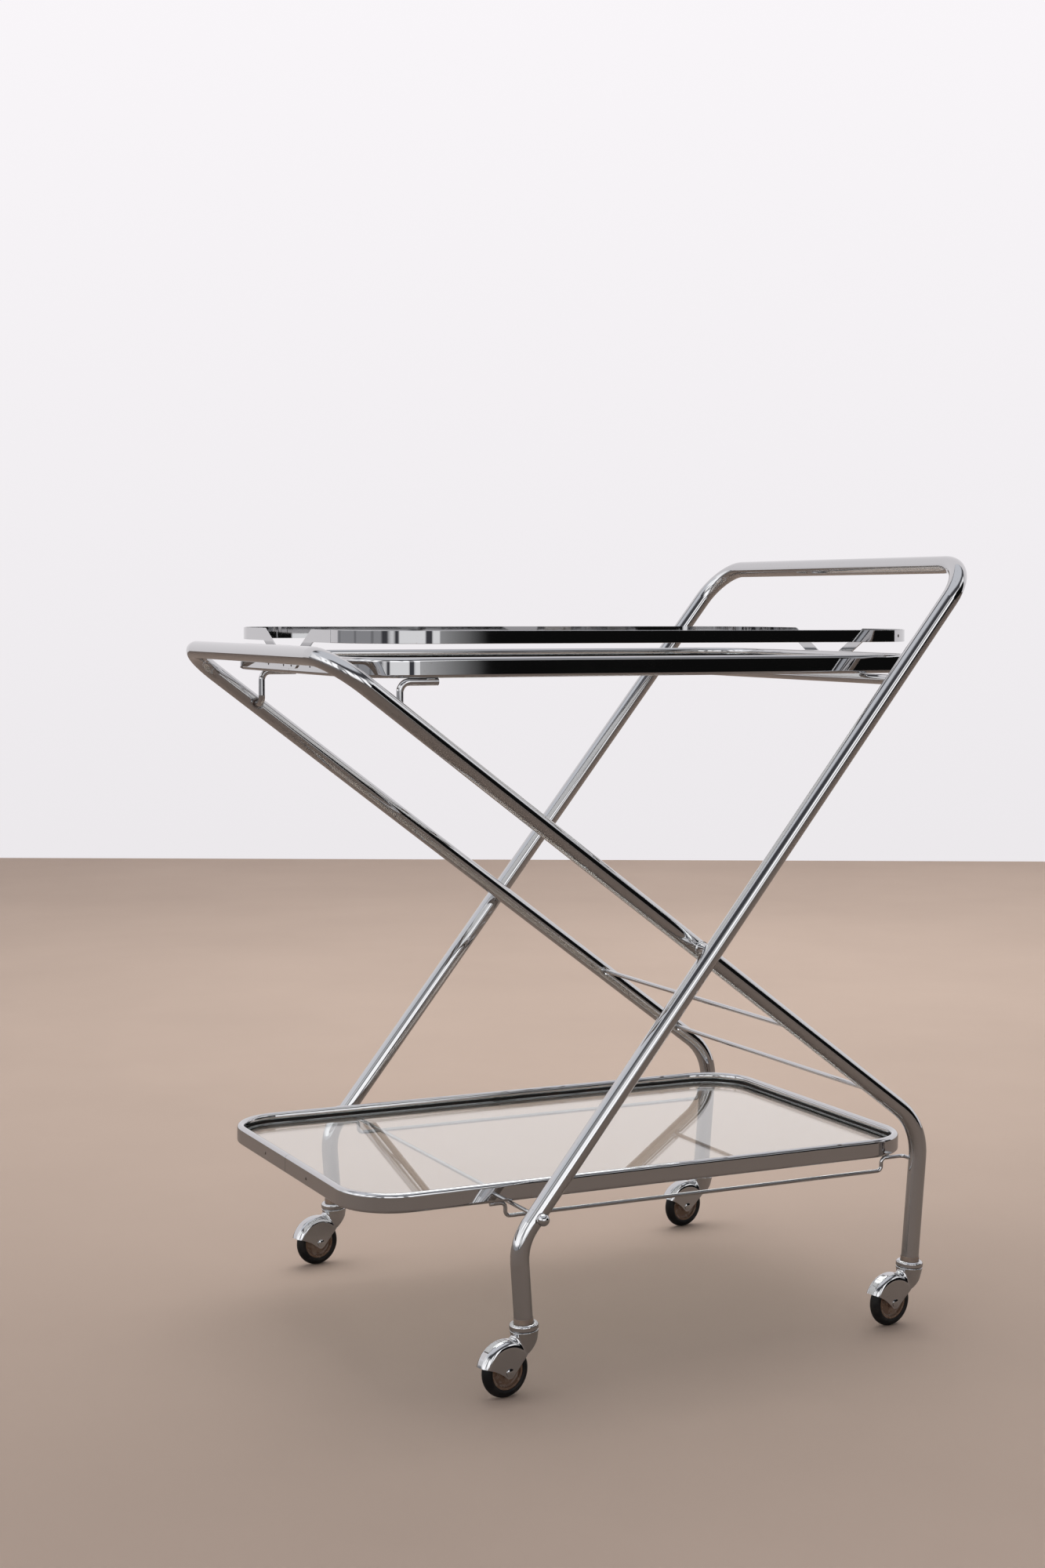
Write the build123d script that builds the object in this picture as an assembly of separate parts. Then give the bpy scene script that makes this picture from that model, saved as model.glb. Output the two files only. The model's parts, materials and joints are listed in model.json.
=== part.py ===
from build123d import *
from math import acos, asin, atan2, cos, degrees, hypot, radians, sin, tan
import os

# Folding two-tier serving cart on casters.
# Millimetres and degrees. +X points to the handle end, +Z up, floor at Z = 0.

# Fits
turn_fit = 0.05        # radial room of a pin that turns
seat_fit = 0.02        # room between pieces that are fixed together
rest_gap = 0.3         # room between moving pieces that lie on each other
stop_gap = 1.0         # room between the slide rod and the stop of its rail

# Frame tubes and main pivot
tube_d = 18.0
tube_wall = 1.5
pivot_z = 404.5
pivot_pin_d = 6.0
pivot_head_d = 9.0
pivot_head_t = 1.6
spacer_d = 12.4
spacer_flange_d = 15.0
spacer_flange_t = 1.6
spacer_flare = 1.2
leg_gap = 13.9         # between the handle frame's and the crossbar frame's legs

# Handle frame
handle_half = 246.2    # leg axis from the middle plane
handle_slope = 51.6
handle_up = 478.5      # pivot to handle axis along the leg
handle_down = 333.2    # pivot to knee along the leg
handle_lean = 4.2
handle_knee_r = 50.0
handle_top_r = 45.0

# Crossbar frame
crossbar_slope = 36.8
crossbar_up = 475.9
crossbar_down = 333.4
crossbar_lean = 4.1
crossbar_knee_r = 60.0
crossbar_top_r = 45.0

# Dimples pressed into the tubes
pivot_dimple_d = 15.0
pivot_dimple_t = 1.8
stay_dimple_d = 12.0
stay_dimple_t = 1.4
peg_dimple_d = 16.0
peg_dimple_t = 2.0

# Rods across the frames, placed along the legs from the pivot
stay_d = 5.0
stay_upper_at = 151.0
stay_lower_at = 272.0
slide_rod_d = 4.0
slide_rod_at = 303.6
ball_d = 12.0
ball_bore = 7.0
shelf_bar_d = 10.0
shelf_bar_at = 331.1
rod_past = 1.5         # end of a blind rod past the inside of the tube wall

# Shelf rims and glass
shelf_l = 629.0
shelf_gap = 10.3       # between a rim and the crossbar frame's legs
shelf_r = 57.0
lower_x0 = -306.0      # left end of the lower shelf
upper_x0 = -300.0
rim_h = 19.0
rim_sheet = 1.2
rim_bead_d = 8.0
rim_curl = 300.0       # turn of the rolled bead
rim_w = 12.0           # channel under the glass
rim_edge_r = 3.0
rim_seam = 0.4
glass_t = 4.0
glass_room = 2.8       # between the glass and the bead over it
glass_edge = 0.5       # between the glass and the rivets of the joint strip
joint_l = 132.0
joint_t = 1.2
rivet_y = 59.0
rivet_z = 8.2          # rivets above the rim's underside

# Rivets
rivet_d = 2.0
rivet_head_d = 3.4
rivet_head_t = 0.5

# Bent wires under the shelves
rail_d = 4.0
rail_inset = 6.0
rail_drop = 13.0
rail_toe = 16.5
rail_heel = 27.0
rail_bend = 5.0
peg_at = 378.3         # peg hole from the pivot, up the crossbar frame's leg
peg_d = 7.0
peg_inset = 5.0
peg_foot = 38.0
peg_bend = 9.0
wire_past = 4.0        # end of a hooked wire past the inside of the tube wall

# Gallery rail round the upper shelf
band_h = 12.3
band_t = 1.5
band_r = 77.0
band_lift = 31.5       # band above the rim's underside
dip_top = 68.0         # half width of the dip at the top
dip_low = 19.0
dip_drop = 26.5
dip_bend = 5.0
dip_rivet = 11.0
band_seam = 0.4
band_seam_angle = 25.5
tab_l = 34.0
tab_h = 9.0
tab_t = 1.2

# Casters, measured along the stem from the tube's end
trail = 25.0
swivel = 10.0          # turn of the trailing side from -X
wheel_d = 50.0
tyre_w = 12.0
tyre_side = 10.6
hub_d = 34.5
hub_rim_t = 2.4
hub_rim_w = 10.0
hub_web_t = 4.0
hub_boss_d = 11.0
axle_d = 6.0
axle_head_d = 8.2
axle_head_t = 1.4
axle_head_edge = 0.6   # side of the head under its dome
axle_drop = 45.0
fork_w = 19.0
fork_sheet = 1.5
hood_gap = 3.0         # tyre to the inside of the hood
hood_shoulder = 7.0
hood_tip = 10.0        # tip above the axle
fork_eye_r = 5.8
neck_r = 3.5           # hollow between the hood and the drum
drum_d = 27.6
drum_top = 11.0
drum_front = 4.2       # height of the drum's front
drum_rear = 7.0
drum_meet = 5.0        # where the drum's rear edge meets the fork's front edge
drum_foot = 24.0       # height over which the drum narrows to the fork's sides
drum_edge_r = 0.8
sleeve_d = 19.0
sleeve_rim = 5.0
sleeve_l = 32.0
stem_d = 8.0
stem_up = 28.0
stem_head_d = 13.0
stem_head_t = 1.6
collar_d = 27.6
collar_rim = 6.0
collar_crown_r = 2.6
collar_edge_r = 0.8
collar_room = 0.6      # round the sleeve's end in the collar
collar_neck_d = 18.0
collar_neck = 0.5

# Derived places
tube_r = tube_d / 2
bore_r = tube_r - tube_wall
crossbar_half = handle_half - tube_d - leg_gap
shelf_half = crossbar_half - tube_r - shelf_gap
pivot_x = (crossbar_up * cos(radians(crossbar_slope)) - handle_up * cos(radians(handle_slope))) / 2
X, Y, Z = Vector(1, 0, 0), Vector(0, 1, 0), Vector(0, 0, 1)


def along(slope, distance, y=0.0):
    """Point at a distance from the pivot along a leg's slope."""
    a = radians(slope)
    return Vector(pivot_x + distance * cos(a), y, pivot_z + distance * sin(a))


handle_dir = handle_slope
crossbar_dir = 180 - crossbar_slope
slide_rod_p = along(handle_dir, -slide_rod_at)
shelf_bar_p = along(handle_dir, shelf_bar_at)
peg_p = along(crossbar_dir, peg_at)
lower_z = slide_rod_p.Z + slide_rod_d / 2 + rest_gap
upper_z = shelf_bar_p.Z + shelf_bar_d / 2 + rest_gap


def foot_of(knee, lean):
    """Tube end below a knee, so that the wheel of its caster meets the floor.

    lean is the angle of the foot's axis from upright, positive towards +X going up."""
    a = radians(lean)
    reach = trail * cos(radians(swivel)) * sin(a)
    z = wheel_d / 2 + axle_drop * cos(a) - reach
    return Vector(knee.X - (knee.Z - z) * tan(a), knee.Y, z)


def frame_points(direction, up, down, lean, half):
    """Corners of a frame's centre line from the near foot to the far foot."""
    top, knee = along(direction, up), along(direction, -down)
    foot = foot_of(knee, lean)
    near = [Vector(p.X, -half, p.Z) for p in (foot, knee, top)]
    return near + [Vector(p.X, half, p.Z) for p in (top, knee, foot)]


def wire_sweep(points, bend, r):
    """Round bar of radius r along filleted corners."""
    path = FilletPolyline(*points, radius=bend)
    start = Plane(origin=path @ 0, z_dir=path % 0)
    return sweep(start * Circle(r), path=path)


def ball_press(at, into, d, depth, grow=0.0):
    """Ball that presses a dimple of diameter d into a tube side at a point."""
    r = (d * d / 4 + depth * depth) / (2 * depth)
    return Pos(*(at - into * (r - depth))) * Sphere(r + grow)


def cross_bar(p, y0, y1, r):
    """Round bar along Y."""
    return Pos(p.X, (y0 + y1) / 2, p.Z) * Rot(90, 0, 0) * Cylinder(r, abs(y1 - y0))


def tube_frame(points, bends, dimples, holes):
    """Bent tube with pressed dimples and drilled holes."""
    body = wire_sweep(points, bends, tube_r)
    bore = wire_sweep(points, bends, bore_r)
    for dimple in dimples:
        body -= ball_press(*dimple)
        bore -= ball_press(*dimple, grow=tube_wall)
    body -= bore
    for hole in holes:
        body -= hole
    return body


def sides(make):
    """The same feature on the near and the far leg."""
    return [make(side) for side in (-1, 1)]


handle_in = handle_half - tube_r
crossbar_in = crossbar_half - tube_r
crossbar_out = crossbar_half + tube_r
pivot_p = along(handle_dir, 0)
stay_ps = [along(crossbar_dir, -s) for s in (stay_upper_at, stay_lower_at)]
rail_lift = lower_z - seat_fit - rail_d / 2
crossbar_pts = frame_points(crossbar_dir, crossbar_up, crossbar_down, crossbar_lean, crossbar_half)
handle_pts = frame_points(handle_dir, handle_up, handle_down, -handle_lean, handle_half)
hinge_x = crossbar_pts[1].X - (crossbar_pts[1].Z - rail_lift) * tan(radians(crossbar_lean))
hinge_p = Vector(hinge_x, 0, rail_lift)


def at_y(p, y):
    return Vector(p.X, y, p.Z)


# Handle frame with its pivots, slide rod and shelf bar
handle_bends = [handle_knee_r, handle_top_r, handle_top_r, handle_knee_r]
handle_dimples = sides(lambda s: (at_y(pivot_p, s * handle_in), Y * s, pivot_dimple_d, pivot_dimple_t))
handle_holes = sides(
    lambda s: cross_bar(pivot_p, s * (handle_in - tube_r), s * handle_half, pivot_pin_d / 2 + seat_fit)
)
handle_holes += sides(
    lambda s: cross_bar(shelf_bar_p, s * (handle_in - tube_r), s * handle_half, shelf_bar_d / 2 + seat_fit)
)
slide_span = handle_half + tube_d
handle_holes.append(cross_bar(slide_rod_p, -slide_span, slide_span, slide_rod_d / 2 + seat_fit))
handle_frame = tube_frame(handle_pts, handle_bends, handle_dimples, handle_holes)

bar_end = handle_in + tube_wall + rod_past
shelf_bar = cross_bar(shelf_bar_p, -bar_end, bar_end, shelf_bar_d / 2)
ball_y = handle_half + tube_r + seat_fit + ball_d / 2
rod_end = ball_y - ball_d / 2 + ball_bore
slide_rod = cross_bar(slide_rod_p, -rod_end, rod_end, slide_rod_d / 2)
bored = cross_bar(slide_rod_p, -rod_end - seat_fit, rod_end + seat_fit, slide_rod_d / 2 + seat_fit)
slide_rod_balls = sides(lambda s: Pos(*at_y(slide_rod_p, s * ball_y)) * Sphere(ball_d / 2) - bored)

# Crossbar frame with its stay rods
crossbar_bends = [crossbar_knee_r, crossbar_top_r, crossbar_top_r, crossbar_knee_r]
crossbar_dimples = sides(
    lambda s: (at_y(pivot_p, s * crossbar_out), Y * -s, pivot_dimple_d, pivot_dimple_t)
)
crossbar_dimples += sides(lambda s: (at_y(peg_p, s * crossbar_in), Y * s, peg_dimple_d, peg_dimple_t))
for stay_p in stay_ps:
    crossbar_dimples += sides(
        lambda s: (at_y(stay_p, s * crossbar_in), Y * s, stay_dimple_d, stay_dimple_t)
    )
crossbar_holes = sides(
    lambda s: cross_bar(pivot_p, s * crossbar_half, s * (crossbar_out + tube_r), pivot_pin_d / 2 + turn_fit)
)
for drilled_p, drilled_r in (
    (peg_p, peg_d / 2 + turn_fit),
    (hinge_p, rail_d / 2 + turn_fit),
    (stay_ps[0], stay_d / 2 + seat_fit),
    (stay_ps[1], stay_d / 2 + seat_fit),
):
    crossbar_holes += sides(
        lambda s: cross_bar(drilled_p, s * (crossbar_in - tube_r), s * crossbar_half, drilled_r)
    )
crossbar_frame = tube_frame(crossbar_pts, crossbar_bends, crossbar_dimples, crossbar_holes)

stay_end = crossbar_in + stay_dimple_t + tube_wall + rod_past
stay_rods = [cross_bar(p, -stay_end, stay_end, stay_d / 2) for p in stay_ps]

# Main pivots: a pin with a head in each tube, and a spacer between the dimples
pin_in = crossbar_out - pivot_dimple_t - tube_wall - rest_gap
pin_out = handle_in + pivot_dimple_t + tube_wall + seat_fit


def pivot_pin(s):
    pin = cross_bar(pivot_p, s * pin_in, s * pin_out, pivot_pin_d / 2)
    pin += cross_bar(pivot_p, s * pin_in, s * (pin_in - pivot_head_t), pivot_head_d / 2)
    return pin + cross_bar(pivot_p, s * pin_out, s * (pin_out + pivot_head_t), pivot_head_d / 2)


def pivot_spacer(s):
    """Barrel in the handle frame's dimple, with a flange that turns in the crossbar frame's."""
    foot = crossbar_out - tube_r
    ring = cross_bar(pivot_p, s * foot, s * (handle_in + tube_r), spacer_d / 2)
    ring += cross_bar(pivot_p, s * foot, s * (crossbar_out + spacer_flange_t), spacer_flange_d / 2)
    root = at_y(pivot_p, s * (crossbar_out + spacer_flange_t)) + X * (spacer_d / 2)
    ring = fillet(ring.edges().filter_by(GeomType.CIRCLE).sort_by_distance(root)[0], spacer_flare)
    ring &= ball_press(at_y(pivot_p, s * handle_in), Y * s, pivot_dimple_d, pivot_dimple_t, -seat_fit)
    ring &= ball_press(at_y(pivot_p, s * crossbar_out), Y * -s, pivot_dimple_d, pivot_dimple_t, -rest_gap)
    return ring - cross_bar(pivot_p, s * pin_in, s * pin_out, pivot_pin_d / 2 + seat_fit)


pivot_pins = sides(pivot_pin)
pivot_spacers = sides(pivot_spacer)


# Shelf rims: a rolled bead on a web, and a channel below whose lip carries the glass
glass_seat = rim_h - rim_bead_d - glass_room - glass_t - seat_fit


def rim_section(plane):
    bead_r = rim_bead_d / 2
    inner_r = bead_r - rim_sheet
    w, edge, t = rim_w, rim_edge_r, rim_sheet
    cx, cz = bead_r, rim_h - bead_r

    def bead(r, turned):
        a = radians(180 - turned)
        return (cx + r * cos(a), cz + r * sin(a))

    def corner(x, towards, r):
        """Middle of a rounded lower corner, turned towards -1 for the outside, 1 for the inside."""
        return (x + towards * r * sin(radians(45)), edge - r * sin(radians(45)))

    outline = [
        Line((0, cz), (0, edge)),
        ThreePointArc((0, edge), corner(edge, -1, edge), (edge, 0)),
        Line((edge, 0), (w - edge, 0)),
        ThreePointArc((w - edge, 0), corner(w - edge, 1, edge), (w, edge)),
        Polyline((w, edge), (w, glass_seat), (w - t, glass_seat), (w - t, edge)),
        ThreePointArc((w - t, edge), corner(w - edge, 1, edge - t), (w - edge, t)),
        Line((w - edge, t), (edge, t)),
        ThreePointArc((edge, t), corner(edge, -1, edge - t), (t, edge)),
        Line((t, edge), (t, cz)),
        ThreePointArc((t, cz), bead(inner_r, rim_curl / 2), bead(inner_r, rim_curl)),
        Line(bead(inner_r, rim_curl), bead(bead_r, rim_curl)),
        ThreePointArc(bead(bead_r, rim_curl), bead(bead_r, rim_curl / 2), (0, cz)),
    ]
    return plane * make_face(outline)


def dome_middle(r, h):
    """Radius and height of the point halfway up a dome of base radius r and height h."""
    dome_r = (r * r + h * h) / (2 * h)
    half_turn = asin(r / dome_r) / 2
    return dome_r * sin(half_turn), h - dome_r * (1 - cos(half_turn))


def rivet(p, axis, grip):
    """Rivet with a low dome at both ends; p is under the outer head, axis points out."""
    r, hr, ht = rivet_d / 2, rivet_head_d / 2, rivet_head_t
    mid_r, mid_h = dome_middle(hr, ht)
    half = make_face([
        Line((0, ht), (0, -grip - ht)),
        ThreePointArc((0, -grip - ht), (mid_r, -grip - mid_h), (hr, -grip)),
        Polyline((hr, -grip), (r, -grip), (r, 0), (hr, 0)),
        ThreePointArc((hr, 0), (mid_r, mid_h), (0, ht)),
    ])
    turned = revolve(Plane.XZ * half, Axis.Z)
    return Plane(origin=p, z_dir=axis) * turned


def rivet_hole(p, axis, depth):
    return Plane(origin=p - axis * (depth / 2), z_dir=axis) * Cylinder(rivet_d / 2 + seat_fit, depth * 2)


def shelf_rim(x0, z0, holes):
    x1, w, s = x0 + shelf_l, shelf_half, rim_seam / 2
    corners = [(x0, -s, z0), (x0, -w, z0), (x1, -w, z0), (x1, w, z0), (x0, w, z0), (x0, s, z0)]
    path = FilletPolyline(*corners, radius=[shelf_r] * 4)
    rim = sweep(rim_section(Plane(origin=corners[0], x_dir=X, z_dir=-Y)), path=path)
    for hole in holes:
        rim -= hole
    return rim


def shelf_glass(x0, z0):
    inset = rim_sheet + joint_t + rivet_head_t + glass_edge
    plate = RectangleRounded(shelf_l - 2 * inset, 2 * (shelf_half - inset), shelf_r - inset)
    return Pos(x0 + shelf_l / 2, 0, z0 + glass_seat + seat_fit) * extrude(plate, glass_t)


def joint_strip(x0, z0, holes):
    """Strip that backs the rim's seam between its channel and its bead."""
    low, high = rim_edge_r + seat_fit, rim_h - rim_bead_d - seat_fit
    x = x0 + rim_sheet + seat_fit + joint_t / 2
    strip = Pos(x, 0, z0 + (low + high) / 2) * Box(joint_t, joint_l, high - low)
    for hole in holes:
        strip -= hole
    return strip


joint_grip = rim_sheet + joint_t + 2 * seat_fit
lower_rivet_ps = [Vector(lower_x0 - seat_fit, s * rivet_y, lower_z + rivet_z) for s in (-1, 1)]
upper_rivet_ps = [Vector(upper_x0 - seat_fit, s * rivet_y, upper_z + rivet_z) for s in (-1, 1)]
upper_x1 = upper_x0 + shelf_l
band_out = band_t + 2 * seat_fit
left_dip_ps = [Vector(upper_x0 - band_out, s * dip_rivet, upper_z + rivet_z) for s in (-1, 1)]
right_dip_ps = [Vector(upper_x1 + band_out, s * dip_rivet, upper_z + rivet_z) for s in (-1, 1)]
hole_l = band_out + joint_grip + rivet_d

lower_holes = [rivet_hole(p, -X, hole_l) for p in lower_rivet_ps]
upper_holes = [rivet_hole(p, -X, hole_l) for p in upper_rivet_ps + left_dip_ps]
right_holes = [rivet_hole(p, X, hole_l) for p in right_dip_ps]
lower_rim = shelf_rim(lower_x0, lower_z, lower_holes)
upper_rim = shelf_rim(upper_x0, upper_z, upper_holes + right_holes)
lower_glass = shelf_glass(lower_x0, lower_z)
upper_glass = shelf_glass(upper_x0, upper_z)
lower_joint = joint_strip(lower_x0, lower_z, lower_holes)
upper_joint = joint_strip(upper_x0, upper_z, upper_holes)
lower_rivets = [rivet(p, -X, joint_grip + seat_fit) for p in lower_rivet_ps]
upper_rivets = [rivet(p, -X, joint_grip + seat_fit) for p in upper_rivet_ps]


# Slide rails under the lower shelf, hooked into the crossbar frame's legs
def slide_rail(s):
    y = s * (shelf_half - rail_inset)
    stop_x = slide_rod_p.X - slide_rod_d / 2 - stop_gap - rail_d / 2
    heel_x = hinge_p.X - rail_heel
    low = rail_lift - rail_drop
    points = [
        (stop_x - rail_toe, y, rail_lift),
        (stop_x, y, rail_lift),
        (stop_x, y, low),
        (heel_x, y, low),
        (heel_x, y, rail_lift),
        (hinge_p.X, y, rail_lift),
        (hinge_p.X, s * (crossbar_in + tube_wall + wire_past), rail_lift),
    ]
    return wire_sweep(points, [rail_bend] * 5, rail_d / 2)


# Pegs that hinge the upper shelf on the crossbar frame
def shelf_peg(s):
    y = s * (shelf_half - peg_inset)
    top = upper_z - seat_fit - peg_d / 2
    points = [
        (peg_p.X, s * (crossbar_in + peg_dimple_t + tube_wall + wire_past), peg_p.Z),
        (peg_p.X, y, peg_p.Z),
        (peg_p.X, y, top),
        (peg_p.X + peg_foot, y, top),
    ]
    return wire_sweep(points, [peg_bend] * 2, peg_d / 2)


slide_rails = sides(slide_rail)
shelf_pegs = sides(shelf_peg)

# Gallery rail: a flat band round the shelf that dips to the rim at both ends
band_z = upper_z + band_lift
band_mid = upper_x0 + shelf_l / 2


def band_ring(grow):
    """Plan of the band, grown outward from the face that lies on the rim."""
    return RectangleRounded(shelf_l + 2 * grow, 2 * (shelf_half + grow), band_r + grow)


def band_dip(x):
    """End strip that runs down to the rim, lies on it and runs up again."""
    k = band_h / 2
    shift = k * tan(atan2(dip_drop, dip_top - dip_low) / 2)
    mid = band_z + k
    upper = [(dip_top - shift, mid + k), (dip_low - shift, mid + k - dip_drop)]
    lower = [(dip_top + shift, mid - k), (dip_low + shift, mid - k - dip_drop)]
    half = [(end_y, mid + k)] + upper
    other = [(end_y, mid - k)] + lower
    ring = half + [(-y, z) for y, z in reversed(half)]
    ring += [(-y, z) for y, z in other] + list(reversed(other))
    face = make_face(Polyline(*ring, close=True))
    bends = [v for v in face.vertices() if abs(v.X) < end_y - dip_bend]
    face = fillet(bends, dip_bend)
    return extrude(Plane(origin=(x, 0, 0), x_dir=Y, z_dir=X) * face, band_t)


def at_seam(angle, r_in, r_out, width, height):
    """Upright block across the band at an angle round the near right corner."""
    place = Pos(upper_x1 - band_r, -end_y, band_z + band_h / 2) * Rot(0, 0, angle - 90)
    return place * Pos((r_in + r_out) / 2, 0, 0) * Box(r_out - r_in, width, height)


def at_left_seam(width, height):
    """Upright block across the band at the near end of the left dip."""
    return Pos(upper_x0, -end_y, band_z + band_h / 2) * Box(4 * tab_l, width, height)


end_y = shelf_half - band_r
flat_band = extrude(band_ring(band_t + seat_fit) - band_ring(seat_fit), band_h)
flat_band = Pos(band_mid, 0, band_z) * flat_band
flat_band -= Pos(band_mid, 0, band_z) * Box(2 * shelf_l, 2 * end_y, 4 * band_h)
near_block = Pos(band_mid, -2 * shelf_half, band_z) * Box(2 * shelf_l, 4 * shelf_half, 4 * band_h)
near_run = flat_band & near_block
near_run -= at_seam(band_seam_angle, band_r - tab_l, band_r + tab_l, band_seam, 2 * band_h)
near_left, near_right = near_run.solids().sort_by(Axis.X)
gallery_near = near_left - at_left_seam(2 * band_seam, 2 * band_h)
left_dip = band_dip(upper_x0 - band_t - seat_fit)
right_dip = band_dip(upper_x1 + seat_fit)
gallery_far = (flat_band - near_block) + left_dip + right_dip + near_right

# Tabs behind the band's two seams, one of them riveted
tab_ring = extrude(band_ring(0) - band_ring(-tab_t), tab_h)
tab_ring = Pos(band_mid, 0, band_z + (band_h - tab_h) / 2) * tab_ring
gallery_tabs = [
    tab_ring & at_left_seam(tab_l, 2 * band_h),
    tab_ring & at_seam(band_seam_angle, band_r - tab_l, band_r + tab_l, tab_l, 2 * band_h),
]
tab_angle = radians(band_seam_angle + degrees(tab_l / 4 / band_r) - 90)
tab_axis = Vector(cos(tab_angle), sin(tab_angle), 0)
tab_rivet_p = Vector(upper_x1 - band_r, -end_y, band_z + band_h / 2) + tab_axis * (band_r + band_out)
tab_grip = band_out + tab_t + 2 * seat_fit
gallery_tabs[1] -= rivet_hole(tab_rivet_p, tab_axis, hole_l)
band_holes = [rivet_hole(p, -X, hole_l) for p in left_dip_ps] + right_holes
band_holes.append(rivet_hole(tab_rivet_p, tab_axis, hole_l))
for hole in band_holes:
    gallery_far -= hole

dip_grip = band_out + rim_sheet + seat_fit
gallery_rivets = [rivet(p, -X, band_out + joint_grip) for p in left_dip_ps]
gallery_rivets += [rivet(p, X, dip_grip) for p in right_dip_ps]
gallery_rivets.append(rivet(tab_rivet_p, tab_axis, tab_grip))


# Casters
def wheel_turn(profile):
    """Solid of revolution about the axle from (radius, width) points."""
    return revolve(Plane.XY * profile, Axis.Y)


def stem_turn(points):
    """Solid of revolution about the stem from (radius, height) points."""
    return revolve(Plane.XZ * make_face(Polyline(*points, close=True)), Axis.Z)


def caster_fork():
    wx, wz = -trail, -axle_drop
    top, drum_r, t = -drum_top, drum_d / 2, fork_sheet
    hood_r = wheel_d / 2 + hood_gap + t
    front = (drum_r, top - drum_front)
    reach = hypot(front[0] - wx, front[1] - wz)
    low = atan2(front[1] - wz, front[0] - wx) - acos(fork_eye_r / reach)
    high = low - radians(90)
    eye = [(wx + fork_eye_r * cos(a), wz + fork_eye_r * sin(a)) for a in (low, low - radians(45), high)]
    tip = (wx - hood_r, wz + hood_tip)
    # Side view: eye, front edge, top and the bowed edge under the hood
    outline = make_face([
        ThreePointArc(eye[2], eye[1], eye[0]),
        Polyline(eye[0], front, (drum_r, top), (tip[0], top), tip),
        TangentArc(eye[2], tip, tangent=(sin(high), -cos(high))),
    ])
    rise = (front[1] - eye[0][1]) / (front[0] - eye[0][0])

    meet = (-drum_meet, front[1] - rise * (drum_meet + drum_r))
    rear = (-drum_r, top - drum_rear)
    # Side views of the drum and of the room in it, closed at the rear by a slope
    drum_side = [(drum_r, top), (-drum_r, top), rear, meet, front]
    inside = (meet[0] + t, meet[1] + t)
    well_side = [(drum_d, top), (-drum_r, top), (-drum_r, rear[1] + t), inside, (inside[0], -drum_d + wz),
                 (drum_d, -drum_d + wz)]

    def slab(face, width):
        return extrude(Plane.XZ * face, width / 2, both=True)

    def hood(r, width, shoulder):
        disc = Cylinder(r, width)
        return Pos(wx, 0, wz) * Rot(90, 0, 0) * fillet(disc.edges().filter_by(GeomType.CIRCLE), shoulder)

    def drum(r, foot_r, head, edge):
        """Drum that narrows downward to the fork's sides, with a rounded top edge."""
        cone = Pos(0, 0, head - drum_foot / 2) * Cone(foot_r, r, drum_foot)
        return fillet(cone.edges().sort_by(Axis.Z)[-1], edge)

    fork = hood(hood_r, fork_w, hood_shoulder) & slab(outline, 2 * drum_d)
    drum_block = slab(make_face(Polyline(*drum_side, close=True)), 2 * drum_d)
    fork += drum(drum_r, fork_w / 2, top, drum_edge_r) & drum_block
    fork = fillet(fork.edges().sort_by_distance((rear[0], 0, rear[1]))[0], neck_r)
    room = hood(hood_r - t, fork_w - 2 * t, hood_shoulder - t)
    well_block = slab(make_face(Polyline(*well_side, close=True)), 2 * drum_d)
    room += drum(drum_r - t, fork_w / 2 - t, top - t, drum_edge_r / 2) & well_block
    fork -= room
    fork -= Cylinder(stem_d / 2 + seat_fit, 4 * drum_top)
    axle_hole = Pos(wx, 0, wz) * Rot(90, 0, 0) * Cylinder(axle_d / 2 + seat_fit, 2 * fork_w)
    return fork - axle_hole


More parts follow.
